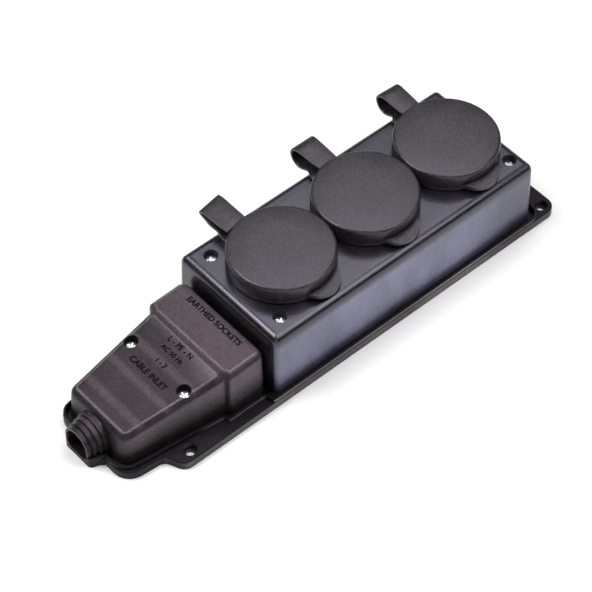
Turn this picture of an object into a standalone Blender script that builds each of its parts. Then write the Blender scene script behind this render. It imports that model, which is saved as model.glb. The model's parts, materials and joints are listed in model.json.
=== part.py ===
"""Three-way earthed socket block with flip caps, a terminal compartment and screw-down ears.

The block lies along X: the cable mouth is at -X, the cap straps are on the +Y side and Z is up.
The origin is in the middle of the underside. All sizes are in metres.
"""
import math

import bmesh
import bpy
from mathutils import Matrix, Vector

# Gaps
FIT = 0.0003
CAP_CLEARANCE = 0.0006
CAP_SPACING = 0.0003

# Sockets
SOCKET_COUNT = 3
RECESS_DIAMETER = 0.0390
RECESS_DEPTH = 0.0175
PIN_SPACING = 0.0190
PIN_HOLE = 0.0056
GUIDE_WIDTH = 0.0054
GUIDE_DEPTH = 0.0011
INSERT_WALL = 0.0020
INSERT_FLOOR = 0.0031
INSERT_FLANGE_WIDTH = 0.0020
INSERT_FLANGE_THICKNESS = 0.0025
COLLAR_WALL = 0.0022
COLLAR_HEIGHT = 0.0055

# Flip caps and their straps
CAP_WALL = 0.00225
CAP_HEIGHT = 0.0087
CAP_TOP_THICKNESS = 0.0024
CAP_CROWN = 0.0004
CAP_EDGE_RADIUS = 0.0016
TAB_RADIUS = 0.0113
TAB_REACH = 0.0066
TAB_THICKNESS = 0.0020
TAB_ROOT_WIDTH = 0.0009
TAB_ROOT_DEPTH = 0.0011
TAB_LIFT = 0.0002
RING_THICKNESS = 0.0018
STRAP_WIDTH = 0.0123
STRAP_THICKNESS = 0.0015
STRAP_FLARE_WIDTH = 0.0180
STRAP_LOOP_HEIGHT = 0.0068
STRAP_LOOP_REACH = 0.0204
LUG_RELIEF = 0.0001
CAP_TURNS_DEG = (9.0, 0.0, -2.5)

# Socket housing
HOUSING_HEIGHT = 0.0427
HOUSING_SIDE_LAND = 0.00835
HOUSING_CABLE_LAND = 0.00775
HOUSING_FAR_LAND = 0.00015
HOUSING_WALL = 0.0026
HOUSING_TOP_THICKNESS = 0.0030
HOUSING_DRAFT = 0.0008
HOUSING_EDGE_RADIUS = 0.0044
HOUSING_CORNER_RADIUS = 0.0032

# Terminal cover and its cable neck
COVER_GAP = 0.0017
COVER_WIDE_LENGTH = 0.0215
COVER_NARROW_LENGTH = 0.0575
COVER_WIDE_WIDTH = 0.0598
COVER_SHOULDER_WIDTH = 0.0546
COVER_END_WIDTH = 0.0408
COVER_WIDE_HEIGHT = 0.0322
COVER_SHOULDER_HEIGHT = 0.0294
COVER_END_HEIGHT = 0.0228
COVER_SHOULDER_RUN = 0.0036
COVER_SHOULDER_BACK = 0.0010
COVER_SLOPE_DROP = 0.0008
COVER_WALL = 0.0022
COVER_TOP_THICKNESS = 0.0026
COVER_DRAFT = 0.0009
COVER_EDGE_RADIUS = 0.0040
COVER_CORNER_RADIUS = 0.0045
COVER_STEP_RADIUS = 0.0016
NECK_LENGTH = 0.0118
NECK_AXIS_HEIGHT = 0.0105
NECK_BORE_RADIUS = 0.0070
NECK_TIP_RADIUS = 0.0083
NECK_RIB_STEP = 0.0008
NECK_RIB_COUNT = 4
NECK_GROOVE_WIDTH = 0.0009
NECK_GROOVE_DEPTH = 0.0006
NECK_TROUGH_FLOOR_WIDTH = 0.0090

# Base tray
FLOOR_THICKNESS = 0.0030
PLATE_HEIGHT = 0.0050
RIM_HEIGHT = 0.0070
RIM_GAP = 0.0029
RIM_CLOSE_GAP = 0.0008
RIM_WALL = 0.0011
RIM_CORNER_RADIUS = 0.0075
EDGE_BREAK = 0.0004
PLATE_LEDGE = 0.0002
WING_LEDGE = 0.0023
FAR_EAR_LENGTH = 0.0148
WING_LENGTH = 0.0366
WING_STEP_RADIUS = 0.0045
EAR_CORNER_RADIUS = 0.0060
EAR_HOLE = 0.0042
EAR_COUNTERBORE = 0.0072
EAR_SEAT_HEIGHT = 0.0022
EAR_HOLE_END_INSET = 0.0060
EAR_HOLE_SIDE_INSET = 0.0057
WING_HOLE_INSET = 0.0073
TROUGH_SPLAY = 0.0030
TROUGH_WALL = 0.0022
TROUGH_WEB_SETBACK = 0.0015
TROUGH_WEB_SLANT = 0.87

# Case screws
SCREW_HOLE = 0.0074
SCREW_HEAD_DIAMETER = 0.0066
SCREW_HEAD_HEIGHT = 0.0022
SCREW_HEAD_DEPTH = 0.0033
SCREW_SHANK_DIAMETER = 0.0030
SCREW_SLOT_WIDTH = 0.0010
SCREW_SLOT_LENGTH = 0.0040
SCREW_SLOT_DEPTH = 0.0011
POST_WALL = 0.0012
INNER_EDGE_RADIUS = 0.0008
BOSS_WALL = 0.0015
HOUSING_SCREW_SIDE_INSET = 0.0102
HOUSING_SCREW_CABLE_INSET = 0.0117
HOUSING_SCREW_FAR_INSET = 0.0075
HOUSING_POST_FOOT = 0.0160
COVER_SCREW_SIDE_INSET = 0.0054
COVER_SCREW_SHOULDER_INSET = 0.0197
COVER_POST_FOOT = 0.0120
SCREW_FOOT = 0.0045

# Conductors
BAR_HEIGHT = 0.0080
BAR_THICKNESS = 0.0012
BAR_WIDTH = 0.0060
BAR_OVERRUN = 0.0060
BAR_RIB_WIDTH = 0.0020
CONTACT_GAP = 0.0044
CONTACT_THICKNESS = 0.0009
CONTACT_WIDTH = 0.0060
CONTACT_LIP = 0.0012
CLIP_THICKNESS = 0.0008
CLIP_WIDTH = 0.0050
CLIP_WALL_GAP = 0.0009
CLIP_BOW = 0.0016
CLIP_TOP_DROP = 0.0040
CLIP_SLOT_CLEARANCE = 0.0006
PILLAR_RADIUS = 0.0020
PILLAR_SPREAD = 0.0100
PILLAR_INSET = 0.0013

# Terminals
TERMINAL_LENGTH = 0.0120
TERMINAL_WIDTH = 0.0068
TERMINAL_HEIGHT = 0.0100
TERMINAL_WIRE_HOLE = 0.0040
TERMINAL_WIRE_HEIGHT = 0.0034
TERMINAL_SETBACK = 0.0024
TERMINAL_SCREW_DIAMETER = 0.0030
TERMINAL_SCREW_HEAD = 0.0056
TERMINAL_SCREW_HEAD_HEIGHT = 0.0018
CARRIER_MARGIN = 0.0020
CARRIER_PARTITION = 0.0016
CARRIER_PARTITION_HEIGHT = 0.0075
GATE_MARGIN = 0.0030

# Cable clamp
CLAMP_SETBACK = 0.0140
CLAMP_LENGTH = 0.0090
CLAMP_THICKNESS = 0.0024
CLAMP_ARCH_RADIUS = 0.0062
CLAMP_FOOT = 0.0078
CLAMP_POST_HEIGHT = 0.0090
CLAMP_SCREW_DIAMETER = 0.0026
CLAMP_SCREW_HEAD = 0.0050
CLAMP_SCREW_HEAD_HEIGHT = 0.0017

# Facet counts and the overlap that joined shapes are given
CAP_SEGMENTS = 48
INSERT_SEGMENTS = 36
TAB_SEGMENTS = 32
BORE_SEGMENTS = 16
POST_SEGMENTS = 8
CORNER_SEGMENTS = 5
EDGE_SEGMENTS = 6
CAP_EDGE_SEGMENTS = 4
BITE = 0.0008
SMOOTH_ANGLE = math.radians(35)

# Radii that follow from the socket, from the pins outwards
recess_radius = RECESS_DIAMETER / 2
insert_radius = recess_radius + INSERT_WALL
collar_bore = insert_radius + FIT
collar_radius = collar_bore + COLLAR_WALL
ring_bore = collar_radius + FIT
cap_bore = collar_radius + CAP_CLEARANCE
cap_radius = cap_bore + CAP_WALL
socket_pitch = 2 * cap_radius + CAP_SPACING

# Heights, from the floor of the tray upwards
seat_height = FLOOR_THICKNESS + FIT
bar_top = BAR_HEIGHT + BAR_THICKNESS
conductor_seat = bar_top + FIT
housing_ceiling = HOUSING_HEIGHT - HOUSING_TOP_THICKNESS
insert_top = HOUSING_HEIGHT + COLLAR_HEIGHT - FIT
recess_floor = insert_top - RECESS_DEPTH
insert_bottom = recess_floor - INSERT_FLOOR
ring_bottom = HOUSING_HEIGHT + FIT
ring_top = ring_bottom + RING_THICKNESS
cap_bottom = ring_top + FIT
cap_top = cap_bottom + CAP_HEIGHT
neck_split = RIM_HEIGHT + FIT

# Places along X, from the cable mouth to the far ears
housing_length = (SOCKET_COUNT - 1) * socket_pitch + 2 * cap_radius + HOUSING_CABLE_LAND + HOUSING_FAR_LAND
overall_length = (
    NECK_LENGTH + COVER_NARROW_LENGTH + COVER_WIDE_LENGTH + COVER_GAP + housing_length + FAR_EAR_LENGTH
)
mouth_x = -overall_length / 2
cover_end_x = mouth_x + NECK_LENGTH
shoulder_x = cover_end_x + COVER_NARROW_LENGTH
cover_back_x = shoulder_x + COVER_WIDE_LENGTH
housing_start_x = cover_back_x + COVER_GAP
housing_end_x = housing_start_x + housing_length
far_end_x = housing_end_x + FAR_EAR_LENGTH
first_socket_x = housing_start_x + HOUSING_CABLE_LAND + cap_radius
socket_places = [first_socket_x + i * socket_pitch for i in range(SOCKET_COUNT)]

# Half widths
housing_half = cap_radius + HOUSING_SIDE_LAND
rim_reach = RIM_GAP + RIM_WALL
rim_half = housing_half + HOUSING_DRAFT + rim_reach
plate_half = rim_half + PLATE_LEDGE

# The strap bends round this line, on which the cap swings
strap_low = ring_bottom + RING_THICKNESS / 2
bend_radius = STRAP_LOOP_HEIGHT / 2
hinge_height = strap_low + bend_radius
hinge_reach = cap_radius + STRAP_LOOP_REACH - STRAP_THICKNESS / 2 - bend_radius

# Places of the conductors and terminals
bar_places = {"live": PIN_SPACING / 2, "earth": 0.0, "neutral": -PIN_SPACING / 2}
terminal_x = shoulder_x - TERMINAL_SETBACK
bar_start_x = terminal_x - TERMINAL_LENGTH / 2
bar_end_x = socket_places[-1] + BAR_OVERRUN
gate_half = PIN_SPACING / 2 + BAR_WIDTH / 2 + GATE_MARGIN
gate_top = bar_top + GATE_MARGIN
clamp_x = cover_end_x + CLAMP_SETBACK
clamp_screw_y = CLAMP_ARCH_RADIUS + CLAMP_THICKNESS + CLAMP_FOOT / 2


def clear_scene():
    for item in list(bpy.data.objects):
        bpy.data.objects.remove(item, do_unlink=True)


def solid_from(vertices, faces):
    """A closed mesh object with its faces pointing out."""
    mesh = bpy.data.meshes.new("solid")
    shape = bmesh.new()
    corners = [shape.verts.new(v) for v in vertices]
    for face in faces:
        shape.faces.new([corners[i] for i in face])
    bmesh.ops.recalc_face_normals(shape, faces=shape.faces)
    shape.to_mesh(mesh)
    shape.free()
    item = bpy.data.objects.new("solid", mesh)
    bpy.context.collection.objects.link(item)
    return item


def combine(target, tool, operation):
    """Joins the tool to the target or cuts it away; the tool is used up."""
    change = target.modifiers.new(operation, "BOOLEAN")
    change.operation = operation
    change.solver = "EXACT"
    change.object = tool
    graph = bpy.context.evaluated_depsgraph_get()
    result = bpy.data.meshes.new_from_object(target.evaluated_get(graph))
    target.modifiers.clear()
    target.data = result
    bpy.data.objects.remove(tool, do_unlink=True)
    return target


def join(target, tool):
    return combine(target, tool, "UNION")


def cut(target, tool):
    return combine(target, tool, "DIFFERENCE")


def shift(item, x=0.0, y=0.0, z=0.0):
    item.data.transform(Matrix.Translation((x, y, z)))
    return item


def mirror_of(half):
    """The +Y side of an outline, back from +X to -X, from its -Y half."""
    return [(x, -y, radius) for x, y, radius in reversed(half)]


def mirrored(half):
    """A whole outline from its -Y half, which runs from -X to +X."""
    return half + mirror_of(half)


def rectangle(x0, x1, half_width, radius):
    return mirrored([(x0, -half_width, radius), (x1, -half_width, radius)])


def turn_at(outline, index):
    """Directions into and out of a corner, and the signed angle between them."""
    before = Vector(outline[index - 1][:2])
    here = Vector(outline[index][:2])
    after = Vector(outline[(index + 1) % len(outline)][:2])
    way_in = (here - before).normalized()
    way_out = (after - here).normalized()
    angle = math.atan2(way_in.x * way_out.y - way_in.y * way_out.x, way_in.dot(way_out))
    return here, way_in, way_out, angle


def inset(outline, distance):
    """Moves every edge of an outline inwards; round corners stay concentric."""
    moved = []
    for index, (_, _, radius) in enumerate(outline):
        here, way_in, way_out, angle = turn_at(outline, index)
        normal_in = Vector((-way_in.y, way_in.x))
        normal_out = Vector((-way_out.y, way_out.x))
        step = (normal_in + normal_out) * (distance / (1 + normal_in.dot(normal_out)))
        kept_radius = radius - distance * math.copysign(1.0, angle)
        moved.append((here.x + step.x, here.y + step.y, max(kept_radius, FIT) if radius else 0.0))
    return moved


def rounded(outline):
    """The points of an outline, with an arc at each corner that has a radius."""
    points = []
    for index, (_, _, radius) in enumerate(outline):
        here, way_in, way_out, angle = turn_at(outline, index)
        if not radius:
            points.append((here.x, here.y))
            continue
        start = here - way_in * (radius * math.tan(abs(angle) / 2))
        side = Vector((-way_in.y, way_in.x)) * math.copysign(1.0, angle)
        centre = start + side * radius
        for step in range(CORNER_SEGMENTS + 1):
            swing = Matrix.Rotation(angle * step / CORNER_SEGMENTS, 2)
            point = centre + swing @ (-side * radius)
            points.append((point.x, point.y))
    return points


def loft(levels, ladder_top=False):
    """A solid through stacked outlines. A sloping top is closed by rungs across Y."""
    count = len(levels[0])
    vertices = [point for level in levels for point in level]
    faces = []
    for level in range(len(levels) - 1):
        low = level * count
        high = low + count
        for i in range(count):
            j = (i + 1) % count
            faces.append((low + i, low + j, high + j, high + i))
    last = (len(levels) - 1) * count
    faces.append(tuple(reversed(range(count))))
    if ladder_top:
        for i in range(count // 2 - 1):
            faces.append((last + i, last + i + 1, last + count - 2 - i, last + count - 1 - i))
    else:
        faces.append(tuple(range(last, last + count)))
    return solid_from(vertices, faces)


def level_at(outline, height):
    return [(x, y, height) for x, y in rounded(outline)]


def slab(outline, low, high, edge=0.0):
    """A flat plate of this outline, with its upper edge broken where an edge is given."""
    levels = [level_at(outline, low), level_at(outline, high - edge)]
    if edge:
        levels.append(level_at(inset(outline, edge), high))
    return loft(levels)


def box(x0, x1, y0, y1, z0, z1):
    return slab([(x0, y0, 0), (x1, y0, 0), (x1, y1, 0), (x0, y1, 0)], z0, z1)


def revolve(profile, segments):
    """A solid turned round Z from (radius, height) points, with flat ends or ends on the axis."""
    vertices = []
    rows = []
    for radius, height in profile:
        first = len(vertices)
        if radius == 0:
            vertices.append((0.0, 0.0, height))
            rows.append([first] * segments)
            continue
        for step in range(segments):
            angle = 2 * math.pi * step / segments
            vertices.append((radius * math.cos(angle), radius * math.sin(angle), height))
        rows.append(list(range(first, first + segments)))
    faces = [row for row in (rows[0], rows[-1]) if len(set(row)) > 1]
    for upper, lower in zip(rows, rows[1:]):
        for i in range(segments):
            j = (i + 1) % segments
            ring = [upper[i], upper[j], lower[j], lower[i]]
            faces.append(tuple(dict.fromkeys(ring)))
    return solid_from(vertices, faces)


def cylinder(radius, low, high, segments, x=0.0, y=0.0):
    return shift(revolve([(radius, high), (radius, low)], segments), x, y)


def arc(centre_a, centre_b, radius, start, end, steps):
    points = []
    for step in range(steps + 1):
        angle = start + (end - start) * step / steps
        points.append((centre_a + radius * math.cos(angle), centre_b + radius * math.sin(angle)))
    return points


def strip(path, thickness, width, along):
    """A bent flat strip: a path in the plane across one axis, with a thickness, as wide along that axis."""
    left = []
    right = []
    for index, point in enumerate(path):
        here = Vector(point)
        way_in = (here - Vector(path[index - 1])).normalized() if index else None
        way_out = (Vector(path[index + 1]) - here).normalized() if index < len(path) - 1 else None
        way_in = way_in or way_out
        way_out = way_out or way_in
        normal_in = Vector((-way_in.y, way_in.x))
        normal_out = Vector((-way_out.y, way_out.x))
        step = (normal_in + normal_out) * (thickness / 2 / (1 + normal_in.dot(normal_out)))
        left.append(here + step)
        right.append(here - step)
    section = left + right[::-1]
    levels = []
    for offset in (-width / 2, width / 2):
        if along == "x":
            levels.append([(offset, p.x, p.y) for p in section])
        else:
            levels.append([(p.x, offset, p.y) for p in section])
    return loft(levels)


def arch(radius, x0, x1, foot):
    """A half-round tunnel shape along X on the cable axis, with straight sides down to its foot."""
    section = [(-radius, foot)]
    section += arc(0.0, NECK_AXIS_HEIGHT, radius, math.pi, 0.0, BORE_SEGMENTS)
    section += [(radius, foot)]
    return loft([[(x, y, z) for y, z in section] for x in (x0, x1)])


def material(name, colour, roughness, metallic=0.0):
    made = bpy.data.materials.new(name)
    made.use_nodes = True
    shader = made.node_tree.nodes["Principled BSDF"]
    shader.inputs["Base Color"].default_value = (*colour, 1.0)
    shader.inputs["Roughness"].default_value = roughness
    shader.inputs["Metallic"].default_value = metallic
    return made


def finish(item, name, look, x=0.0, y=0.0, z=0.0):
    """Names a piece, gives it its material and smooth shading, and places it."""
    item.name = name
    item.data.name = name
    item.data.materials.clear()
    item.data.materials.append(look)
    item.data.shade_smooth()
    item.data.set_sharp_from_angle(angle=SMOOTH_ANGLE)
    item.location = (x, y, z)
    return item


def cover_half_width(x):
    """Half width of the narrow stretch of the terminal cover, which tapers to the cable end."""
    share = (x - cover_end_x) / COVER_NARROW_LENGTH
    return (COVER_END_WIDTH + (COVER_SHOULDER_WIDTH - COVER_END_WIDTH) * share) / 2


def cover_top(x):
    """Height of the terminal cover: a slope up from the cable end, and a soft step to the wide part."""
    low_share = (x - cover_end_x) / COVER_NARROW_LENGTH
    low = COVER_END_HEIGHT + (COVER_SHOULDER_HEIGHT - COVER_END_HEIGHT) * low_share
    high_share = (x - shoulder_x) / COVER_WIDE_LENGTH
    high = COVER_WIDE_HEIGHT - COVER_SLOPE_DROP * (1 - high_share)
    rise = (x - shoulder_x + COVER_SHOULDER_RUN) / (COVER_SHOULDER_RUN + COVER_SHOULDER_BACK)
    rise = min(max(rise, 0.0), 1.0)
    return low + (high - low) * rise * rise * (3 - 2 * rise)


def cover_outline():
    step_x = shoulder_x - COVER_STEP_RADIUS
    run_x = shoulder_x - COVER_SHOULDER_RUN
    rise_x = run_x + COVER_SHOULDER_RUN / 4
    return mirrored([
        (cover_end_x, -COVER_END_WIDTH / 2, COVER_CORNER_RADIUS),
        (run_x, -cover_half_width(run_x), 0.0),
        (rise_x, -cover_half_width(rise_x), 0.0),
        (step_x, -cover_half_width(step_x), COVER_STEP_RADIUS),
        (shoulder_x, -COVER_WIDE_WIDTH / 2, COVER_STEP_RADIUS),
        (cover_back_x, -COVER_WIDE_WIDTH / 2, COVER_EDGE_RADIUS),
    ])


def housing_outline():
    return rectangle(housing_start_x, housing_end_x, housing_half, HOUSING_CORNER_RADIUS)


def moulded(outline, top, draft, edge_radius, foot):
    """A moulded block: walls that lean in by the draft, and a rounded top edge."""
    foot_outline = rounded(inset(outline, -draft))
    levels = [[(x, y, foot) for x, y in foot_outline]]
    for step in range(EDGE_SEGMENTS + 1):
        angle = math.pi / 2 * step / EDGE_SEGMENTS
        level = rounded(inset(outline, edge_radius * (1 - math.cos(angle))))
        drop = edge_radius * (1 - math.sin(angle))
        levels.append([(x, y, top(x) - drop) for x, y in level])
    return loft(levels, ladder_top=True)


def housing_screw_places():
    y = housing_half - HOUSING_SCREW_SIDE_INSET
    ends = (housing_start_x + HOUSING_SCREW_CABLE_INSET, housing_end_x - HOUSING_SCREW_FAR_INSET)
    return [(x, side * y) for x in ends for side in (-1, 1)]


def cover_screw_places():
    x = shoulder_x - COVER_SCREW_SHOULDER_INSET
    y = cover_half_width(x) - COVER_SCREW_SIDE_INSET
    return [(x, -y), (x, y)]


def hollow_with_posts(outline, top, draft, wall, ceiling_drop, screw_places, post_foot):
    """The inside of a moulded cover, left standing round each screw as a post."""
    inside = inset(outline, wall)
    cavity = moulded(inside, lambda x: top(x) - ceiling_drop, draft, INNER_EDGE_RADIUS, -BITE)
    for x, y in screw_places:
        cut(cavity, cylinder(SCREW_HOLE / 2 + POST_WALL, post_foot, top(x) + BITE, BORE_SEGMENTS, x, y))
    return cavity


def drill_for_screws(item, top, screw_places):
    """The wide hole that takes each screw head, and the narrow one below it for the shank."""
    for x, y in screw_places:
        seat = top(x) - SCREW_HEAD_DEPTH - SCREW_HEAD_HEIGHT - FIT
        cut(item, cylinder(SCREW_HOLE / 2, seat, top(x) + BITE, BORE_SEGMENTS, x, y))
        cut(item, cylinder(SCREW_SHANK_DIAMETER / 2 + FIT, -BITE, top(x), POST_SEGMENTS, x, y))


def housing_top(x):
    return HOUSING_HEIGHT


def make_socket_housing(look):
    outline = housing_outline()
    screws = housing_screw_places()
    shell = moulded(outline, housing_top, HOUSING_DRAFT, HOUSING_EDGE_RADIUS, seat_height)
    cavity = hollow_with_posts(
        outline, housing_top, HOUSING_DRAFT, HOUSING_WALL, HOUSING_TOP_THICKNESS, screws, HOUSING_POST_FOOT
    )
    cut(shell, cavity)
    for x in socket_places:
        collar_top = HOUSING_HEIGHT + COLLAR_HEIGHT
        collar_root = HOUSING_HEIGHT - HOUSING_TOP_THICKNESS / 2
        join(shell, cylinder(collar_radius, collar_root, collar_top, CAP_SEGMENTS, x))
        cut(shell, cylinder(collar_bore, housing_ceiling - BITE, collar_top + BITE, CAP_SEGMENTS, x))
    drill_for_screws(shell, housing_top, screws)
    gate_back = housing_start_x + HOUSING_WALL + BITE
    cut(shell, box(housing_start_x - HOUSING_DRAFT - BITE, gate_back, -gate_half, gate_half, 0.0, gate_top))
    return finish(shell, "socket_housing", look)


def make_terminal_cover(look):
    outline = cover_outline()
    screws = cover_screw_places()
    shell = moulded(outline, cover_top, COVER_DRAFT, COVER_EDGE_RADIUS, seat_height)
    cavity = hollow_with_posts(
        outline, cover_top, COVER_DRAFT, COVER_WALL, COVER_TOP_THICKNESS, screws, COVER_POST_FOOT
    )
    rib_length = NECK_LENGTH / NECK_RIB_COUNT
    for rib in range(NECK_RIB_COUNT):
        radius = NECK_TIP_RADIUS + rib * NECK_RIB_STEP
        root = cover_end_x + COVER_WALL
        start = mouth_x + rib * rib_length
        join(shell, arch(radius - NECK_GROOVE_DEPTH, start, root, neck_split))
        join(shell, arch(radius, start, start + rib_length - NECK_GROOVE_WIDTH, neck_split))
    cut(shell, cavity)
    bore_back = cover_end_x + COVER_WALL + BITE
    cut(shell, arch(NECK_BORE_RADIUS, mouth_x - BITE, bore_back, 0.0))
    drill_for_screws(shell, cover_top, screws)
    gate_front = cover_back_x - COVER_WALL - BITE
    cut(shell, box(gate_front, cover_back_x + COVER_DRAFT + BITE, -gate_half, gate_half, 0.0, gate_top))
    return finish(shell, "terminal_cover", look)


def skirt_half(ledge, cover_gap):
    """The -Y half of the line round the foot of the cover and the housing, by a ledge outside the rim."""
    end_reach = COVER_DRAFT + rim_reach + ledge
    cover_reach = COVER_DRAFT + cover_gap + RIM_WALL + ledge
    housing_reach = HOUSING_DRAFT + rim_reach + ledge
    end_half = COVER_END_WIDTH / 2 + cover_reach
    wide_half = COVER_WIDE_WIDTH / 2 + cover_reach
    step_x = shoulder_x - cover_reach
    housing_x = housing_start_x - housing_reach
    return [
        (cover_end_x - end_reach, -end_half, COVER_CORNER_RADIUS + cover_reach),
        (step_x - COVER_STEP_RADIUS, -cover_half_width(step_x) - cover_reach, COVER_STEP_RADIUS),
        (step_x, -wide_half, COVER_STEP_RADIUS),
        (housing_x - COVER_STEP_RADIUS, -wide_half, COVER_STEP_RADIUS),
        (housing_x, -rim_half - ledge, COVER_STEP_RADIUS),
        (housing_end_x + housing_reach, -rim_half - ledge, RIM_CORNER_RADIUS),
    ]


def rim_outline():
    """Outer line of the rim round the cover and the housing, close to the cover on the strap side."""
    return skirt_half(0.0, RIM_GAP) + mirror_of(skirt_half(0.0, RIM_CLOSE_GAP))


def plate_outline():
    """Outer line of the flat plate: a wing with an ear on the -Y side, close to the rim on the other."""
    far_corner = (far_end_x, -plate_half, EAR_CORNER_RADIUS)
    close_side = skirt_half(PLATE_LEDGE, RIM_CLOSE_GAP)[:-1] + [far_corner]
    end_x, end_y, end_radius = skirt_half(PLATE_LEDGE, RIM_GAP)[0]
    wing_x = shoulder_x - WING_LENGTH
    root_x = wing_x - WING_STEP_RADIUS
    root_reach = COVER_DRAFT + rim_reach + WING_LEDGE
    wing_side = [
        (end_x, end_y - WING_LEDGE, end_radius),
        (root_x, -cover_half_width(root_x) - root_reach, WING_STEP_RADIUS),
        (wing_x, -plate_half, EAR_CORNER_RADIUS),
        far_corner,
    ]
    return wing_side + mirror_of(close_side)


def trough_outline():
    """The cable neck's lower half, which splays out towards the end of the tray."""
    front_half = NECK_BORE_RADIUS + TROUGH_WALL
    end_x = cover_end_x - COVER_DRAFT - RIM_GAP
    return mirrored([(mouth_x, -front_half, TROUGH_WALL), (end_x, -front_half - TROUGH_SPLAY, FIT)])


def trough_web():
    """The low web that joins the neck to the plate on the wing side."""
    root_y = NECK_BORE_RADIUS - TROUGH_WALL
    tip_x = mouth_x + TROUGH_WEB_SETBACK
    tip_y = NECK_BORE_RADIUS + TROUGH_WALL / 2
    spread = (cover_end_x - tip_x) * TROUGH_WEB_SLANT
    return [
        (tip_x, -tip_y, 0.0),
        (cover_end_x, -tip_y - spread, 0.0),
        (cover_end_x, -root_y, 0.0),
        (tip_x, -root_y, 0.0),
    ]


def trough_channel():
    """The channel that the cable lies in: straight sides over a narrower flat floor."""
    half = NECK_BORE_RADIUS
    floor_half = NECK_TROUGH_FLOOR_WIDTH / 2
    shoulder = FLOOR_THICKNESS + half - floor_half
    high = RIM_HEIGHT + BITE
    section = [(-floor_half, FLOOR_THICKNESS), (floor_half, FLOOR_THICKNESS), (half, shoulder)]
    section += [(half, high), (-half, high), (-half, shoulder)]
    ends = (mouth_x - BITE, cover_end_x + BITE)
    return loft([[(x, y, z) for y, z in section] for x in ends])


def ear_hole_places():
    """One hole in the wing and two in the far ears."""
    y = plate_half - EAR_HOLE_SIDE_INSET
    wing_x = shoulder_x - WING_LENGTH + WING_HOLE_INSET
    far_x = far_end_x - EAR_HOLE_END_INSET
    return [(wing_x, -y), (far_x, -y), (far_x, y)]


def make_base_tray(look):
    tray = slab(plate_outline(), 0.0, PLATE_HEIGHT, EDGE_BREAK)
    join(tray, slab(rim_outline(), EDGE_BREAK, RIM_HEIGHT, EDGE_BREAK))
    join(tray, slab(trough_outline(), 0.0, RIM_HEIGHT - FIT, EDGE_BREAK))
    join(tray, slab(trough_web(), 0.0, PLATE_HEIGHT - FIT, EDGE_BREAK))
    cut(tray, slab(inset(rim_outline(), RIM_WALL), FLOOR_THICKNESS, RIM_HEIGHT + BITE))
    cut(tray, trough_channel())
    for x, y in ear_hole_places():
        cut(tray, cylinder(EAR_COUNTERBORE / 2, EAR_SEAT_HEIGHT, RIM_HEIGHT, BORE_SEGMENTS, x, y))
        cut(tray, cylinder(EAR_HOLE / 2, -BITE, PLATE_HEIGHT, BORE_SEGMENTS, x, y))
    add_bosses(tray, housing_screw_places(), SCREW_SHANK_DIAMETER, HOUSING_POST_FOOT - FIT)
    add_bosses(tray, cover_screw_places(), SCREW_SHANK_DIAMETER, COVER_POST_FOOT - FIT)
    clamp_places = [(clamp_x, -clamp_screw_y), (clamp_x, clamp_screw_y)]
    add_bosses(tray, clamp_places, CLAMP_SCREW_DIAMETER, CLAMP_POST_HEIGHT)
    pillar_radius = insert_radius - PILLAR_INSET
    pillar_y = math.sqrt(pillar_radius ** 2 - PILLAR_SPREAD ** 2)
    for socket_x in socket_places:
        for x in (socket_x - PILLAR_SPREAD, socket_x + PILLAR_SPREAD):
            for y in (-pillar_y, pillar_y):
                low = FLOOR_THICKNESS - BITE
                join(tray, cylinder(PILLAR_RADIUS, low, insert_bottom - FIT, POST_SEGMENTS, x, y))
    rib_half = PIN_SPACING / 2 + BAR_WIDTH / 2
    for socket_x in socket_places:
        rib_x = socket_x - socket_pitch / 2
        rib_start = rib_x - BAR_RIB_WIDTH / 2
        rib_end = rib_x + BAR_RIB_WIDTH / 2
        join(tray, box(rib_start, rib_end, -rib_half, rib_half, FLOOR_THICKNESS - BITE, BAR_HEIGHT - FIT))
    return finish(tray, "base_tray", look)


def add_bosses(tray, places, screw_diameter, top):
    """A boss on the tray's floor for each screw, with a blind hole for its shank."""
    hole = screw_diameter / 2 + FIT
    for x, y in places:
        join(tray, cylinder(hole + BOSS_WALL, FLOOR_THICKNESS - BITE, top, POST_SEGMENTS, x, y))
        cut(tray, cylinder(hole, FLOOR_THICKNESS, top + BITE, POST_SEGMENTS, x, y))


def make_screw(name, look, place, head_top, foot, head_diameter, head_height, shank_diameter, crossed):
    """A domed screw that points down, with a cross or a single slot in its head."""
    head = head_diameter / 2
    shank = shank_diameter / 2
    seat = head_top - head_height
    rise = head_height / 2
    turns = (math.pi / 4, math.pi / 2)
    dome = [(head * math.sin(turn), seat + rise + rise * math.cos(turn)) for turn in turns]
    profile = [(0, head_top), *dome, (head, seat), (shank, seat), (shank, foot + shank), (0, foot)]
    screw = revolve(profile, POST_SEGMENTS)
    slot_scale = head_diameter / SCREW_HEAD_DIAMETER
    length = SCREW_SLOT_LENGTH / 2 * slot_scale
    width = SCREW_SLOT_WIDTH / 2 * slot_scale
    depth = SCREW_SLOT_DEPTH * slot_scale
    slot = box(-length, length, -width, width, head_top - depth, head_top + BITE)
    if crossed:
        join(slot, box(-width, width, -length, length, head_top - depth, head_top + BITE))
    cut(screw, slot)
    return finish(screw, name, look, place[0], place[1])


def make_case_screws(look):
    groups = (
        ("housing_screw", housing_screw_places(), housing_top),
        ("cover_screw", cover_screw_places(), cover_top),
    )
    for label, places, top in groups:
        for number, (x, y) in enumerate(places, 1):
            make_screw(
                f"{label}_{number}", look, (x, y), top(x) - SCREW_HEAD_DEPTH, SCREW_FOOT,
                SCREW_HEAD_DIAMETER, SCREW_HEAD_HEIGHT, SCREW_SHANK_DIAMETER, crossed=True,
            )


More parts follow.
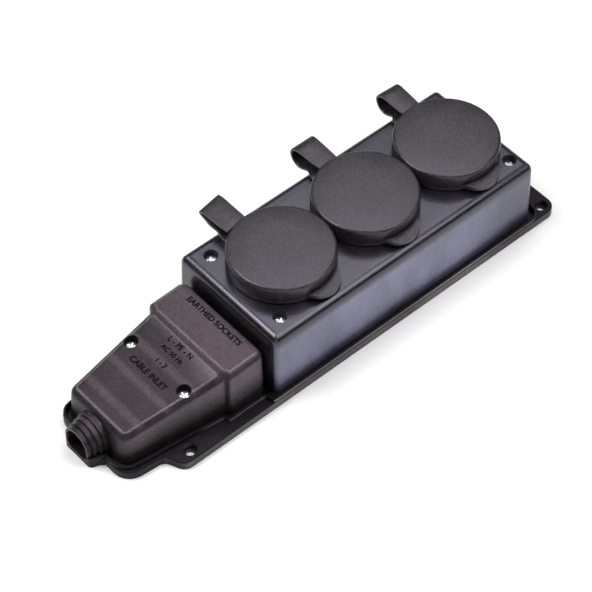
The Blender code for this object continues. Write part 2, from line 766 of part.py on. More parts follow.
def make_socket_insert(number, x, look):
    flange_top = housing_ceiling - FIT
    flange_bottom = flange_top - INSERT_FLANGE_THICKNESS
    flange_radius = insert_radius + INSERT_FLANGE_WIDTH
    insert = revolve([
        (recess_radius, recess_floor), (recess_radius, insert_top), (insert_radius, insert_top),
        (insert_radius, flange_top), (flange_radius, flange_top), (flange_radius, flange_bottom),
        (insert_radius, flange_bottom), (insert_radius, insert_bottom),
    ], INSERT_SEGMENTS)
    for side in (-1, 1):
        pin_y = side * PIN_SPACING / 2
        cut(insert, cylinder(PIN_HOLE / 2, insert_bottom - BITE, insert_top, BORE_SEGMENTS, 0.0, pin_y))
        groove_inner = side * (recess_radius - GUIDE_WIDTH / 2)
        groove_outer = side * (recess_radius + GUIDE_DEPTH)
        low, high = sorted((groove_inner, groove_outer))
        half = GUIDE_WIDTH / 2
        cut(insert, box(-half, half, low, high, recess_floor, insert_top + BITE))
        leg = side * clip_leg_x()
        reach = CLIP_THICKNESS / 2 + CLIP_SLOT_CLEARANCE
        slot_half = CLIP_WIDTH / 2 + CLIP_SLOT_CLEARANCE
        slot = box(leg - reach, leg + reach, -slot_half, slot_half, insert_bottom - BITE, recess_floor + BITE)
        cut(insert, slot)
    return finish(insert, f"socket_insert_{number}", look, x)


def clip_leg_x():
    return recess_radius - CLIP_WALL_GAP - CLIP_THICKNESS / 2


def make_earth_clip(number, x, look):
    """One bent strip: its web lies on the earth bar and its two legs spring into the recess."""
    leg = clip_leg_x()
    web = conductor_seat + CLIP_THICKNESS / 2
    top = insert_top - CLIP_TOP_DROP
    bend = (recess_floor + top) / 2
    half = [(leg - CLIP_BOW / 2, top), (leg - CLIP_BOW, bend), (leg, recess_floor), (leg, web)]
    path = [(-a, b) for a, b in half] + half[::-1]
    return finish(strip(path, CLIP_THICKNESS, CLIP_WIDTH, "y"), f"earth_clip_{number}", look, x)


def make_pin_contact(pole, number, x, look):
    """A spring fork on its bar: two leaves that pinch the plug's pin, flared at the top."""
    leaf = (CONTACT_GAP + CONTACT_THICKNESS) / 2
    web = conductor_seat + CONTACT_THICKNESS / 2
    top = insert_bottom - FIT
    half = [(leaf + CONTACT_LIP, top), (leaf, top - 2 * CONTACT_LIP), (leaf, web)]
    path = [(-a, b) for a, b in half] + half[::-1]
    fork = strip(path, CONTACT_THICKNESS, CONTACT_WIDTH, "y")
    return finish(fork, f"{pole}_contact_{number}", look, x, bar_places[pole])


def make_busbar(pole, look):
    half = BAR_WIDTH / 2
    bar = box(bar_start_x, bar_end_x, -half, half, BAR_HEIGHT, bar_top)
    return finish(bar, f"{pole}_busbar", look, 0.0, bar_places[pole])


def make_terminal(pole, look):
    """A clamp block on the end of its bar, with a wire hole along X and a screw hole from above."""
    half_length = TERMINAL_LENGTH / 2
    half_width = TERMINAL_WIDTH / 2
    top = conductor_seat + TERMINAL_HEIGHT
    block = box(-half_length, half_length, -half_width, half_width, conductor_seat, top)
    wire_hole = cylinder(TERMINAL_WIRE_HOLE / 2, -TERMINAL_LENGTH, TERMINAL_LENGTH, POST_SEGMENTS)
    wire_hole.data.transform(Matrix.Rotation(math.pi / 2, 4, "Y"))
    cut(block, shift(wire_hole, z=conductor_seat + TERMINAL_WIRE_HEIGHT))
    hole = TERMINAL_SCREW_DIAMETER / 2 + FIT
    cut(block, cylinder(hole, conductor_seat + TERMINAL_WIRE_HEIGHT, top + BITE, POST_SEGMENTS))
    return finish(block, f"{pole}_terminal", look, terminal_x, bar_places[pole])


def make_terminal_screw(pole, look):
    seat = conductor_seat + TERMINAL_HEIGHT + FIT
    foot = conductor_seat + TERMINAL_WIRE_HEIGHT + TERMINAL_WIRE_HOLE / 2 - TERMINAL_SCREW_DIAMETER / 2
    return make_screw(
        f"{pole}_terminal_screw", look, (terminal_x, bar_places[pole]), seat + TERMINAL_SCREW_HEAD_HEIGHT,
        foot, TERMINAL_SCREW_HEAD, TERMINAL_SCREW_HEAD_HEIGHT, TERMINAL_SCREW_DIAMETER, crossed=False,
    )


def make_terminal_carrier(look):
    """The insulating block under the terminals, with a wall between each pair of poles."""
    start = bar_start_x - CARRIER_MARGIN
    end = terminal_x + TERMINAL_LENGTH / 2 + CARRIER_MARGIN
    pole_pitch = PIN_SPACING / 2
    pole_count = len(bar_places)
    walls = [(place - pole_count / 2) * pole_pitch for place in range(pole_count + 1)]
    side = CARRIER_PARTITION / 2
    half = walls[-1] + side + FIT
    carrier = box(start, end, -half, half, seat_height, BAR_HEIGHT - FIT)
    top = bar_top + CARRIER_PARTITION_HEIGHT
    for y in walls:
        join(carrier, box(start + BITE, end - BITE, y - side, y + side, seat_height + BITE, top))
    return finish(carrier, "terminal_carrier", look)


def make_cable_clamp(look):
    """A saddle over the cable: two flat feet on the clamp posts and an arch between them."""
    foot = CLAMP_POST_HEIGHT + FIT + CLAMP_THICKNESS / 2
    bend = CLAMP_ARCH_RADIUS + CLAMP_THICKNESS / 2
    path = [(-bend - CLAMP_FOOT, foot)]
    path += arc(0.0, foot, bend, math.pi, 0.0, BORE_SEGMENTS // 2)
    path += [(bend + CLAMP_FOOT, foot)]
    clamp = strip(path, CLAMP_THICKNESS, CLAMP_LENGTH, "x")
    for side in (-1, 1):
        hole = CLAMP_SCREW_DIAMETER / 2 + FIT
        cut(clamp, cylinder(hole, 0.0, foot + CLAMP_FOOT, POST_SEGMENTS, 0.0, side * clamp_screw_y))
    return finish(clamp, "cable_clamp", look, clamp_x)


def make_clamp_screws(look):
    seat = CLAMP_POST_HEIGHT + CLAMP_THICKNESS + 2 * FIT
    for number, side in enumerate((-1, 1), 1):
        make_screw(
            f"clamp_screw_{number}", look, (clamp_x, side * clamp_screw_y), seat + CLAMP_SCREW_HEAD_HEIGHT,
            SCREW_FOOT, CLAMP_SCREW_HEAD, CLAMP_SCREW_HEAD_HEIGHT, CLAMP_SCREW_DIAMETER, crossed=False,
        )


def cap_turn(number):
    """How far a cap and its ring are turned round their socket."""
    degrees = CAP_TURNS_DEG[(number - 1) % len(CAP_TURNS_DEG)]
    return Matrix.Rotation(math.radians(degrees), 4, "Z")


def make_cap(number, x, look):
    """A lid whose skirt drops over the socket's collar, and a thumb tab at its foot that bends at a thin root."""
    flat_radius = cap_radius - CAP_EDGE_RADIUS
    profile = [(0, cap_top), (flat_radius / 2, cap_top - CAP_CROWN / 4)]
    rim = cap_top - CAP_CROWN - CAP_EDGE_RADIUS
    profile += arc(flat_radius, rim, CAP_EDGE_RADIUS, math.pi / 2, 0.0, CAP_EDGE_SEGMENTS)
    profile += [(cap_radius, cap_bottom)]
    cap = revolve(profile, CAP_SEGMENTS)
    tab_y = -(cap_radius + TAB_REACH - TAB_RADIUS)
    tab_bottom = cap_bottom + TAB_LIFT
    tab_top = tab_bottom + TAB_THICKNESS
    tab = cylinder(TAB_RADIUS, tab_bottom, tab_top, TAB_SEGMENTS, 0.0, tab_y)
    cut(tab, cylinder(cap_radius + TAB_ROOT_WIDTH, tab_top - TAB_ROOT_DEPTH, tab_top + BITE, CAP_SEGMENTS))
    join(cap, tab)
    cut(cap, cylinder(cap_bore, cap_bottom - BITE, cap_top - CAP_TOP_THICKNESS, CAP_SEGMENTS))
    turn = cap_turn(number)
    shift(cap, y=-hinge_reach, z=-hinge_height)
    cap.data.transform(turn)
    hinge = turn @ Vector((0.0, hinge_reach, hinge_height))
    return finish(cap, f"cap_{number}", look, x + hinge.x, hinge.y, hinge.z)


def make_cap_strap(number, x, look):
    """The cap's retaining ring round the collar, and the strap that loops from it up to the cap."""
    half = STRAP_WIDTH / 2
    flare_half = STRAP_FLARE_WIDTH / 2
    flare_end = hinge_reach - bend_radius
    ring = cylinder(cap_radius, ring_bottom, ring_top, CAP_SEGMENTS)
    lug = [(-flare_half, collar_radius, 0), (flare_half, collar_radius, 0)]
    lug += [(half + FIT, flare_end, 0), (-half - FIT, flare_end, 0)]
    join(ring, slab(lug, ring_bottom + LUG_RELIEF, ring_top - LUG_RELIEF))
    cut(ring, cylinder(ring_bore, ring_bottom - BITE, ring_top + BITE, CAP_SEGMENTS))
    path = [(flare_end - BITE, strap_low)]
    path += arc(hinge_reach, hinge_height, bend_radius, -math.pi / 2, math.pi / 2, 2 * CORNER_SEGMENTS)
    path += [(0.0, strap_low + STRAP_LOOP_HEIGHT)]
    band = strip(path, STRAP_THICKNESS, STRAP_WIDTH, "x")
    cut(band, cylinder(cap_radius + FIT, cap_bottom, cap_top + BITE, CAP_SEGMENTS))
    join(ring, band).data.transform(cap_turn(number))
    return finish(ring, f"cap_strap_{number}", look, x)


def make_part():
    clear_scene()
    case_plastic = material("case_plastic", (0.030, 0.028, 0.031), 0.48)
    cap_rubber = material("cap_rubber", (0.036, 0.034, 0.038), 0.62)
    insert_plastic = material("insert_plastic", (0.020, 0.020, 0.022), 0.40)
    carrier_plastic = material("carrier_plastic", (0.55, 0.53, 0.48), 0.50)
    zinc = material("zinc_steel", (0.72, 0.73, 0.74), 0.28, 1.0)
    brass = material("brass", (0.78, 0.57, 0.25), 0.32, 1.0)
    nickel = material("nickel_brass", (0.66, 0.63, 0.58), 0.30, 1.0)
    make_base_tray(case_plastic)
    make_socket_housing(case_plastic)
    make_terminal_cover(case_plastic)
    make_case_screws(zinc)
    make_terminal_carrier(carrier_plastic)
    make_cable_clamp(carrier_plastic)
    make_clamp_screws(zinc)
    for pole in bar_places:
        make_busbar(pole, brass)
        make_terminal(pole, brass)
        make_terminal_screw(pole, zinc)
    for number, x in enumerate(socket_places, 1):
        make_socket_insert(number, x, insert_plastic)
        make_pin_contact("live", number, x, brass)
        make_pin_contact("neutral", number, x, brass)
        make_earth_clip(number, x, nickel)
        make_cap(number, x, cap_rubber)
        make_cap_strap(number, x, cap_rubber)


make_part()
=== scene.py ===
"""Looks of the three-way socket block: finishes, straps, screw heads, marks, camera and studio light."""

import json
import math

import bmesh
import bpy
from mathutils import Matrix, Vector


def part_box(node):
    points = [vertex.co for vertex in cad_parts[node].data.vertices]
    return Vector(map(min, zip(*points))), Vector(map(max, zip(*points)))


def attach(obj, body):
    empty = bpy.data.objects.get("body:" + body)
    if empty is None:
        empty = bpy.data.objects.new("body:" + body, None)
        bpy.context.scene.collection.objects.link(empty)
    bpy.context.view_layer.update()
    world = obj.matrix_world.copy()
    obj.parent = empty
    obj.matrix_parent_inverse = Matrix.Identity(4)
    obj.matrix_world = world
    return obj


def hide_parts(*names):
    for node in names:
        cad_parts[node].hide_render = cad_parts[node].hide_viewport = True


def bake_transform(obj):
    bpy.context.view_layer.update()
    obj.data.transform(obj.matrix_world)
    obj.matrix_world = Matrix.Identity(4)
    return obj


# Camera, at the photo's angle
CAMERA_PLACE = (-0.53424, -0.60134, 0.98811)
CAMERA_AZIMUTH = math.radians(-41.513)
CAMERA_ELEVATION = math.radians(50.641)
CAMERA_ROLL = math.radians(0.19)
CAMERA_LENS = 157.53
CAMERA_SENSOR = 36.0
CAMERA_NEAREST = 0.05

# Studio: the sky's brightness, the rise where it starts and is full, its fall to the camera, and the floor
SKY = 0.34
HORIZON = 0.04
SKY_START = 0.22
SKY_FULL = 0.55
CAMERA_SIDE = (-0.5, 0.4)
CAMERA_SIDE_SHARE = 0.35
FLOOR_HALF_SIZE = 6.0
FLOOR_COLOUR = 0.88
FLOOR_ROUGHNESS = 0.9
FLOOR_GLOSS = 0.1
FLOOR_LIFT = 0.14

# Finishes: the usual range of a noise, and the slow mottling and waves
NOISE_RANGE = (0.3, 0.7)
MOTTLE_SCALE = 70.0
WAVE_SCALE = 90.0
ROUGHNESS_SPREAD = 0.04

# Painted sheen on the front walls: how they face, and the places where it starts or thins out
PAINTED_SHEEN_ROUGHNESS = 0.22
PAINTED_SHEEN_FRONT = (-0.45, -0.95)
PAINTED_SHEEN_UPRIGHT = (0.30, 0.08)
PAINTED_SHEEN_FADE = 0.001
PAINTED_SHEEN_FOOT = (0.004, 0.010)
PAINTED_SHEEN_FAR_END = (0.075, 0.112)
PAINTED_SHEEN_CABLE_END = (-0.045, 0.005)
STREAK_TURN = (0.0, 0.4, 0.0)
STREAK_SCALE = (34.0, 34.0, 14.0)

# Painted highlight along the cover's upper edges, by how far they face up and sideways and how far they lie from
# its end
EDGE_HIGHLIGHT_ABOVE = (0.975, 0.945)
EDGE_HIGHLIGHT_BELOW = (0.84, 0.92)
EDGE_HIGHLIGHT_SIDEWAYS = (0.1, 0.3)
EDGE_HIGHLIGHT_FADE = 0.001
EDGE_HIGHLIGHT_FULL = 0.003
EDGE_HIGHLIGHT_LAST = 0.006
EDGE_HIGHLIGHT_COLOUR = (0.18, 0.165, 0.195)

# Walls of the holes that the screws sit in, painted darker as shade and made rougher
PAINTED_WELL_SHADE = (0.002, 0.002, 0.002)
WELL_ROUGHNESS = 0.6
WELL_REACH = 0.0041
WELL_FADE = 0.0003
WELL_STEEP = (0.6, 0.4)

# Shading of the facets
WELD_DISTANCE = 0.000002
REAL_EDGE_ANGLE = math.radians(38.0)
FLAT_ANGLE = math.radians(0.02)
FLAT_AREA = 0.0003

# Rubber straps
STRAP_FLARE_WIDTH = 0.0175
STRAP_THICKNESS = 0.0015
STRAP_EDGE = 0.0004
STRAP_STEPS = 5
STRAP_ROOT = 0.0248
STRAP_FLARE_END = 0.0300
STRAP_CAP_END = 0.0269
STRAP_BEND_POINT = 5
SHORT_LOOP_LESS = 0.0012
SHORT_LOOP_REACH = 0.0120
RING_INNER = 0.0243
RING_OUTER = 0.02685
RING_LOW = 0.0430
RING_HIGH = 0.0448
RING_SEGMENTS = 96

# Sloping top of the terminal cover and the marks on it
COVER_END = -0.12665
COVER_LOW = 0.0228
COVER_SLOPE = 0.0066 / 0.0575
SHOULDER = -0.0692
WIDE_LOW = 0.0314
WIDE_SLOPE = 0.0008 / 0.0215
MARK_DEPTH = 0.00008
MARK_BOLD = 0.00012

# Painted light across the terminal cover: paler bands, and the paler stretch past its shoulder
BAND_PLACE = -0.116
BAND_PITCH = 0.0150
BAND_SHARE = 0.35
BAND_PALENESS = 0.60
BAND_UPWARD = (0.4, 0.95)
STRETCH = (-0.076, -0.070)
STRETCH_PALENESS = 0.70

# Screw heads
HOUSING_SCREWS = ("housing_screw_1", "housing_screw_2", "housing_screw_3", "housing_screw_4")
COVER_SCREWS = ("cover_screw_1", "cover_screw_2")
HEAD_RADIUS = 0.0033
HEAD_HEIGHT = 0.0022
HEAD_DOME = 0.0005
HEAD_SMOOTH_ANGLE = 50.0
SHANK_RADIUS = 0.0015
TIP_RADIUS = 0.00025
CROSS_WIDTH = 0.0009
CROSS_REACH = 0.0020
CROSS_DEPTH = 0.0008
CROSS_WALL = 0.00025
CROSS_RAMP = 0.0012
FIRST_SCREW_TURN = 25.0
SCREW_TURN_STEP = 37.0
HEAD_RINGS = 12
HEAD_SEGMENTS = 48

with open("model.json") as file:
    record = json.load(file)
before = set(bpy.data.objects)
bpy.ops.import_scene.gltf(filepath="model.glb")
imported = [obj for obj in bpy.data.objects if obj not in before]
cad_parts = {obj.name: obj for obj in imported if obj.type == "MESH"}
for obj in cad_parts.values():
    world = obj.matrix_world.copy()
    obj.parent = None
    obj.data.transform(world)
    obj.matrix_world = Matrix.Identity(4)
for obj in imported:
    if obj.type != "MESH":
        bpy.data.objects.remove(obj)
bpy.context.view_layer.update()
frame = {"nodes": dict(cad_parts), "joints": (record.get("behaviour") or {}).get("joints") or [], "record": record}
scene = bpy.context.scene


def add_node(tree, kind, **values):
    """A node with some of its inputs or settings filled in."""
    node = tree.nodes.new(kind)
    for key, value in values.items():
        if key in node.inputs:
            node.inputs[key].default_value = value
        else:
            setattr(node, key, value)
    return node


def noise(tree, place, scale, detail=2.0, roughness=0.5):
    node = add_node(tree, "ShaderNodeTexNoise", Scale=scale, Detail=detail, Roughness=roughness)
    tree.links.new(place, node.inputs["Vector"])
    return node.outputs["Fac"]


def spread(tree, value, low, high, out_low, out_high):
    """Maps a value from one range to another."""
    node = tree.nodes.new("ShaderNodeMapRange")
    for index, number in zip((1, 2, 3, 4), (low, high, out_low, out_high)):
        node.inputs[index].default_value = number
    tree.links.new(value, node.inputs[0])
    return node.outputs[0]


def uneven(tree, value, low, high):
    """Maps a noise from its usual range to another."""
    return spread(tree, value, *NOISE_RANGE, low, high)


def combine(tree, operation, first, second):
    """The result of an operation on two values, each a number or a socket."""
    node = tree.nodes.new("ShaderNodeMath")
    node.operation = operation
    for socket, value in zip(node.inputs, (first, second)):
        if isinstance(value, (int, float)):
            socket.default_value = value
        else:
            tree.links.new(value, socket)
    return node.outputs[0]


def blended(tree, amount, dark, light):
    """A colour between two others."""
    node = tree.nodes.new("ShaderNodeMix")
    node.data_type = "RGBA"
    for socket, colour in ((node.inputs[6], dark), (node.inputs[7], light)):
        if isinstance(colour, tuple):
            socket.default_value = (*colour, 1.0)
        else:
            tree.links.new(colour, socket)
    tree.links.new(amount, node.inputs[0])
    return node.outputs[2]


def bumped(tree, height, depth, normal=None):
    """A normal that follows a height, over another normal where one is given."""
    node = add_node(tree, "ShaderNodeBump", Strength=1.0, Distance=depth)
    tree.links.new(height, node.inputs["Height"])
    if normal:
        tree.links.new(normal, node.inputs["Normal"])
    return node.outputs["Normal"]


def surface(name, dark, light, roughness, grain_scale, grain_depth, speckle, gloss=0.5,
            refraction=1.5, metallic=0.0, tint=(1.0, 1.0, 1.0), painted_sheen=None, painted_sheen_side=0.0,
            painted_sheen_rise=(0.0, 0.001), wave_depth=0.0, bands=False, screws=()):
    """A moulded or metal finish: mottling, grain, uneven sheen and, where asked, painted sheen on front walls,
    painted bands and edge highlight, and painted shade in screw wells.
    """
    made = bpy.data.materials.new(name)
    made.use_nodes = True
    tree = made.node_tree
    shader = tree.nodes["Principled BSDF"]
    shader.inputs["Metallic"].default_value = metallic
    shader.inputs["Specular IOR Level"].default_value = gloss
    shader.inputs["IOR"].default_value = refraction
    shader.inputs["Specular Tint"].default_value = (*tint, 1.0)
    place = tree.nodes.new("ShaderNodeTexCoord").outputs["Object"]
    mottle = noise(tree, place, MOTTLE_SCALE, 4.0, 0.6)
    grain = noise(tree, place, grain_scale, 3.0, 0.6)
    tone = uneven(tree, mottle, 0.15, 0.85)
    tone = combine(tree, "ADD", tone, uneven(tree, grain, -speckle, speckle))
    # Painted light: paler bands and a paler stretch on the cover's top
    if bands:
        band = combine(tree, "MULTIPLY", painted_band_light(tree, place), uneven(tree, grain, 0.7, 1.3))
        tone = combine(tree, "ADD", combine(tree, "MULTIPLY", tone, 0.3), band)
    colour = blended(tree, tone, dark, light)
    if bands:
        # Painted highlight along the cover's upper edges
        colour = blended(tree, painted_edge_highlight(tree, place, grain), colour, EDGE_HIGHLIGHT_COLOUR)
    wear = uneven(tree, mottle, roughness - ROUGHNESS_SPREAD, roughness + ROUGHNESS_SPREAD)
    # Painted sheen on the front walls, which also makes them rougher
    if painted_sheen:
        painted_sheen_amount = painted_front_sheen(tree, place, grain, painted_sheen_side, painted_sheen_rise)
        colour = blended(tree, painted_sheen_amount, colour, painted_sheen)
        wear = combine(tree, "ADD", wear, combine(tree, "MULTIPLY", painted_sheen_amount, PAINTED_SHEEN_ROUGHNESS))
    # Painted shade on the walls of the screw wells, which are also made rougher
    if screws:
        well = screw_wells(tree, place, screws)
        colour = blended(tree, well, colour, PAINTED_WELL_SHADE)
        wear = combine(tree, "ADD", wear, combine(tree, "MULTIPLY", well, WELL_ROUGHNESS))
    tree.links.new(colour, shader.inputs["Base Color"])
    tree.links.new(wear, shader.inputs["Roughness"])
    normal = None
    if wave_depth:
        normal = bumped(tree, noise(tree, place, WAVE_SCALE, 1.0, 0.4), wave_depth)
    normal = bumped(tree, grain, grain_depth, normal)
    tree.links.new(normal, shader.inputs["Normal"])
    return made


def facing(tree, axis):
    """How far a surface faces along an axis."""
    parts = tree.nodes.new("ShaderNodeSeparateXYZ")
    tree.links.new(tree.nodes.new("ShaderNodeNewGeometry").outputs["Normal"], parts.inputs[0])
    return parts.outputs[axis]


def along_axes(tree, place):
    """The three coordinates of a place."""
    parts = tree.nodes.new("ShaderNodeSeparateXYZ")
    tree.links.new(place, parts.inputs[0])
    return parts.outputs


def painted_front_sheen(tree, place, grain, side, rise):
    """Painted light: a pale, streaked, uneven sheen on the front walls, thinner at the foot and at the far end."""
    x, y, z = along_axes(tree, place)
    front = spread(tree, facing(tree, 1), *PAINTED_SHEEN_FRONT, 0.0, 1.0)
    upright = spread(tree, facing(tree, 2), *PAINTED_SHEEN_UPRIGHT, 0.0, 1.0)
    outer = spread(tree, y, side, side - PAINTED_SHEEN_FADE, 0.0, 1.0)
    height = spread(tree, z, *rise, 0.0, 1.0)
    foot = spread(tree, z, *PAINTED_SHEEN_FOOT, 0.4, 1.0)
    far_end = spread(tree, x, *PAINTED_SHEEN_FAR_END, 1.0, 0.45)
    cable_end = spread(tree, x, *PAINTED_SHEEN_CABLE_END, 0.70, 1.0)
    streaks = add_node(tree, "ShaderNodeMapping", Rotation=STREAK_TURN, Scale=STREAK_SCALE)
    tree.links.new(place, streaks.inputs["Vector"])
    patches = uneven(tree, noise(tree, streaks.outputs[0], 1.0, 4.0, 0.6), 0.35, 1.0)
    amount = uneven(tree, grain, 0.75, 1.25)
    for share in (front, upright, outer, height, foot, far_end, cable_end, patches):
        amount = combine(tree, "MULTIPLY", amount, share)
    return amount


def screw_wells(tree, place, screws):
    """The steep walls of the holes that some screws sit in, duller and painted darker as shade, placed alike on
    both sides.
    """
    boxes = [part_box(node) for node in screws]
    centres = [(Vector(low) + Vector(high)) / 2 for low, high in boxes]
    middle = sum(centre.x for centre in centres) / len(centres)
    x, y = along_axes(tree, place)[:2]
    ahead = combine(tree, "ABSOLUTE", combine(tree, "SUBTRACT", x, middle), 0.0)
    ahead = combine(tree, "SUBTRACT", ahead, abs(centres[0].x - middle))
    beside = combine(tree, "ABSOLUTE", y, 0.0)
    beside = combine(tree, "SUBTRACT", beside, abs(centres[0].y))
    square = combine(tree, "MULTIPLY", ahead, ahead)
    square = combine(tree, "ADD", square, combine(tree, "MULTIPLY", beside, beside))
    reach = combine(tree, "SQRT", square, 0.0)
    near = spread(tree, reach, WELL_REACH + WELL_FADE, WELL_REACH, 0.0, 1.0)
    steep = spread(tree, facing(tree, 2), *WELL_STEEP, 0.0, 1.0)
    return combine(tree, "MULTIPLY", near, steep)


def painted_edge_highlight(tree, place, grain):
    """A painted highlight along the rounded upper edges, pale and speckled, up to the cable neck."""
    upward = facing(tree, 2)
    above = spread(tree, upward, *EDGE_HIGHLIGHT_ABOVE, 0.0, 1.0)
    below = spread(tree, upward, *EDGE_HIGHLIGHT_BELOW, 0.0, 1.0)
    along = along_axes(tree, place)[0]
    body = spread(tree, along, COVER_END - EDGE_HIGHLIGHT_FADE, COVER_END, 0.0, 1.0)
    end = spread(tree, along, COVER_END + EDGE_HIGHLIGHT_LAST, COVER_END + EDGE_HIGHLIGHT_FULL, 0.0, 0.7)
    sideways = combine(tree, "ABSOLUTE", facing(tree, 1), 0.0)
    amount = combine(tree, "MAXIMUM", end, spread(tree, sideways, *EDGE_HIGHLIGHT_SIDEWAYS, 0.5, 1.0))
    for share in (above, below, body, uneven(tree, grain, 0.4, 1.0)):
        amount = combine(tree, "MULTIPLY", amount, share)
    return amount


def painted_band_light(tree, place):
    """Painted light: paler bands across the terminal cover, and a paler stretch past its shoulder, strongest on
    faces turned upwards.
    """
    along = along_axes(tree, place)[0]
    turns = combine(tree, "MULTIPLY", combine(tree, "SUBTRACT", along, BAND_PLACE), 2 * math.pi / BAND_PITCH)
    band = spread(tree, combine(tree, "COSINE", turns, 0.0), BAND_SHARE, 1.0, 0.0, BAND_PALENESS)
    stretch = spread(tree, along, *STRETCH, 0.0, STRETCH_PALENESS)
    upward = spread(tree, facing(tree, 2), *BAND_UPWARD, 0.15, 1.0)
    return combine(tree, "MULTIPLY", combine(tree, "MAXIMUM", band, stretch), upward)


# The pale front-wall colours given below are painted sheen
finishes = {
    "case_plastic": surface(
        "case_finish", dark=(0.004, 0.004, 0.004), light=(0.012, 0.011, 0.013), roughness=0.27,
        grain_scale=900.0, grain_depth=0.00004, speckle=0.5,
        gloss=0.75, refraction=1.56, tint=(0.84, 0.80, 1.0), painted_sheen=(0.25, 0.25, 0.37),
        painted_sheen_side=-0.030, painted_sheen_rise=(0.0380, 0.0345), wave_depth=0.00006, screws=HOUSING_SCREWS,
    ),
    "cap_rubber": surface(
        "cap_finish", dark=(0.005, 0.004, 0.005), light=(0.030, 0.026, 0.032), roughness=0.36,
        grain_scale=900.0, grain_depth=0.00006, speckle=0.85,
        gloss=0.62, refraction=1.53, tint=(0.96, 0.87, 1.0),
    ),
    "insert_plastic": surface(
        "insert_finish", dark=(0.016, 0.016, 0.018), light=(0.024, 0.024, 0.026), roughness=0.40,
        grain_scale=1200.0, grain_depth=0.00003, speckle=0.2,
    ),
    "carrier_plastic": surface(
        "carrier_finish", dark=(0.50, 0.48, 0.43), light=(0.58, 0.56, 0.51), roughness=0.50,
        grain_scale=1200.0, grain_depth=0.00003, speckle=0.2,
    ),
    "zinc_steel": surface(
        "zinc_finish", dark=(0.84, 0.87, 0.90), light=(0.95, 0.97, 1.00), roughness=0.34,
        grain_scale=2600.0, grain_depth=0.00003, speckle=0.3, metallic=1.0,
    ),
    "brass": surface(
        "brass_finish", dark=(0.70, 0.50, 0.20), light=(0.82, 0.62, 0.30), roughness=0.32,
        grain_scale=2000.0, grain_depth=0.00002, speckle=0.2, metallic=1.0,
    ),
    "nickel_brass": surface(
        "nickel_finish", dark=(0.60, 0.58, 0.53), light=(0.72, 0.69, 0.64), roughness=0.28,
        grain_scale=2000.0, grain_depth=0.00002, speckle=0.2, metallic=1.0,
    ),
}
own_finishes = {
    "terminal_cover": surface(
        "cover_finish", dark=(0.009, 0.0075, 0.008), light=(0.066, 0.054, 0.059), roughness=0.42,
        grain_scale=900.0, grain_depth=0.00006, speckle=0.7,
        gloss=0.33, tint=(1.0, 0.80, 0.92), painted_sheen=(0.18, 0.155, 0.18),
        painted_sheen_side=-0.018, painted_sheen_rise=(0.008, 0.020), wave_depth=0.00006, bands=True, screws=COVER_SCREWS,
    ),
    "base_tray": surface(
        "tray_finish", dark=(0.004, 0.003, 0.004), light=(0.011, 0.009, 0.010), roughness=0.40,
        grain_scale=900.0, grain_depth=0.00005, speckle=0.5,
        gloss=0.16, tint=(1.0, 0.86, 1.0), painted_sheen=(0.42, 0.40, 0.42), painted_sheen_side=-0.030,
    ),
}
mark_finish = surface(
    "mark_finish", dark=(0.003, 0.003, 0.003), light=(0.006, 0.005, 0.006), roughness=0.7,
    grain_scale=1500.0, grain_depth=0.00003, speckle=0.2, gloss=0.0,
)


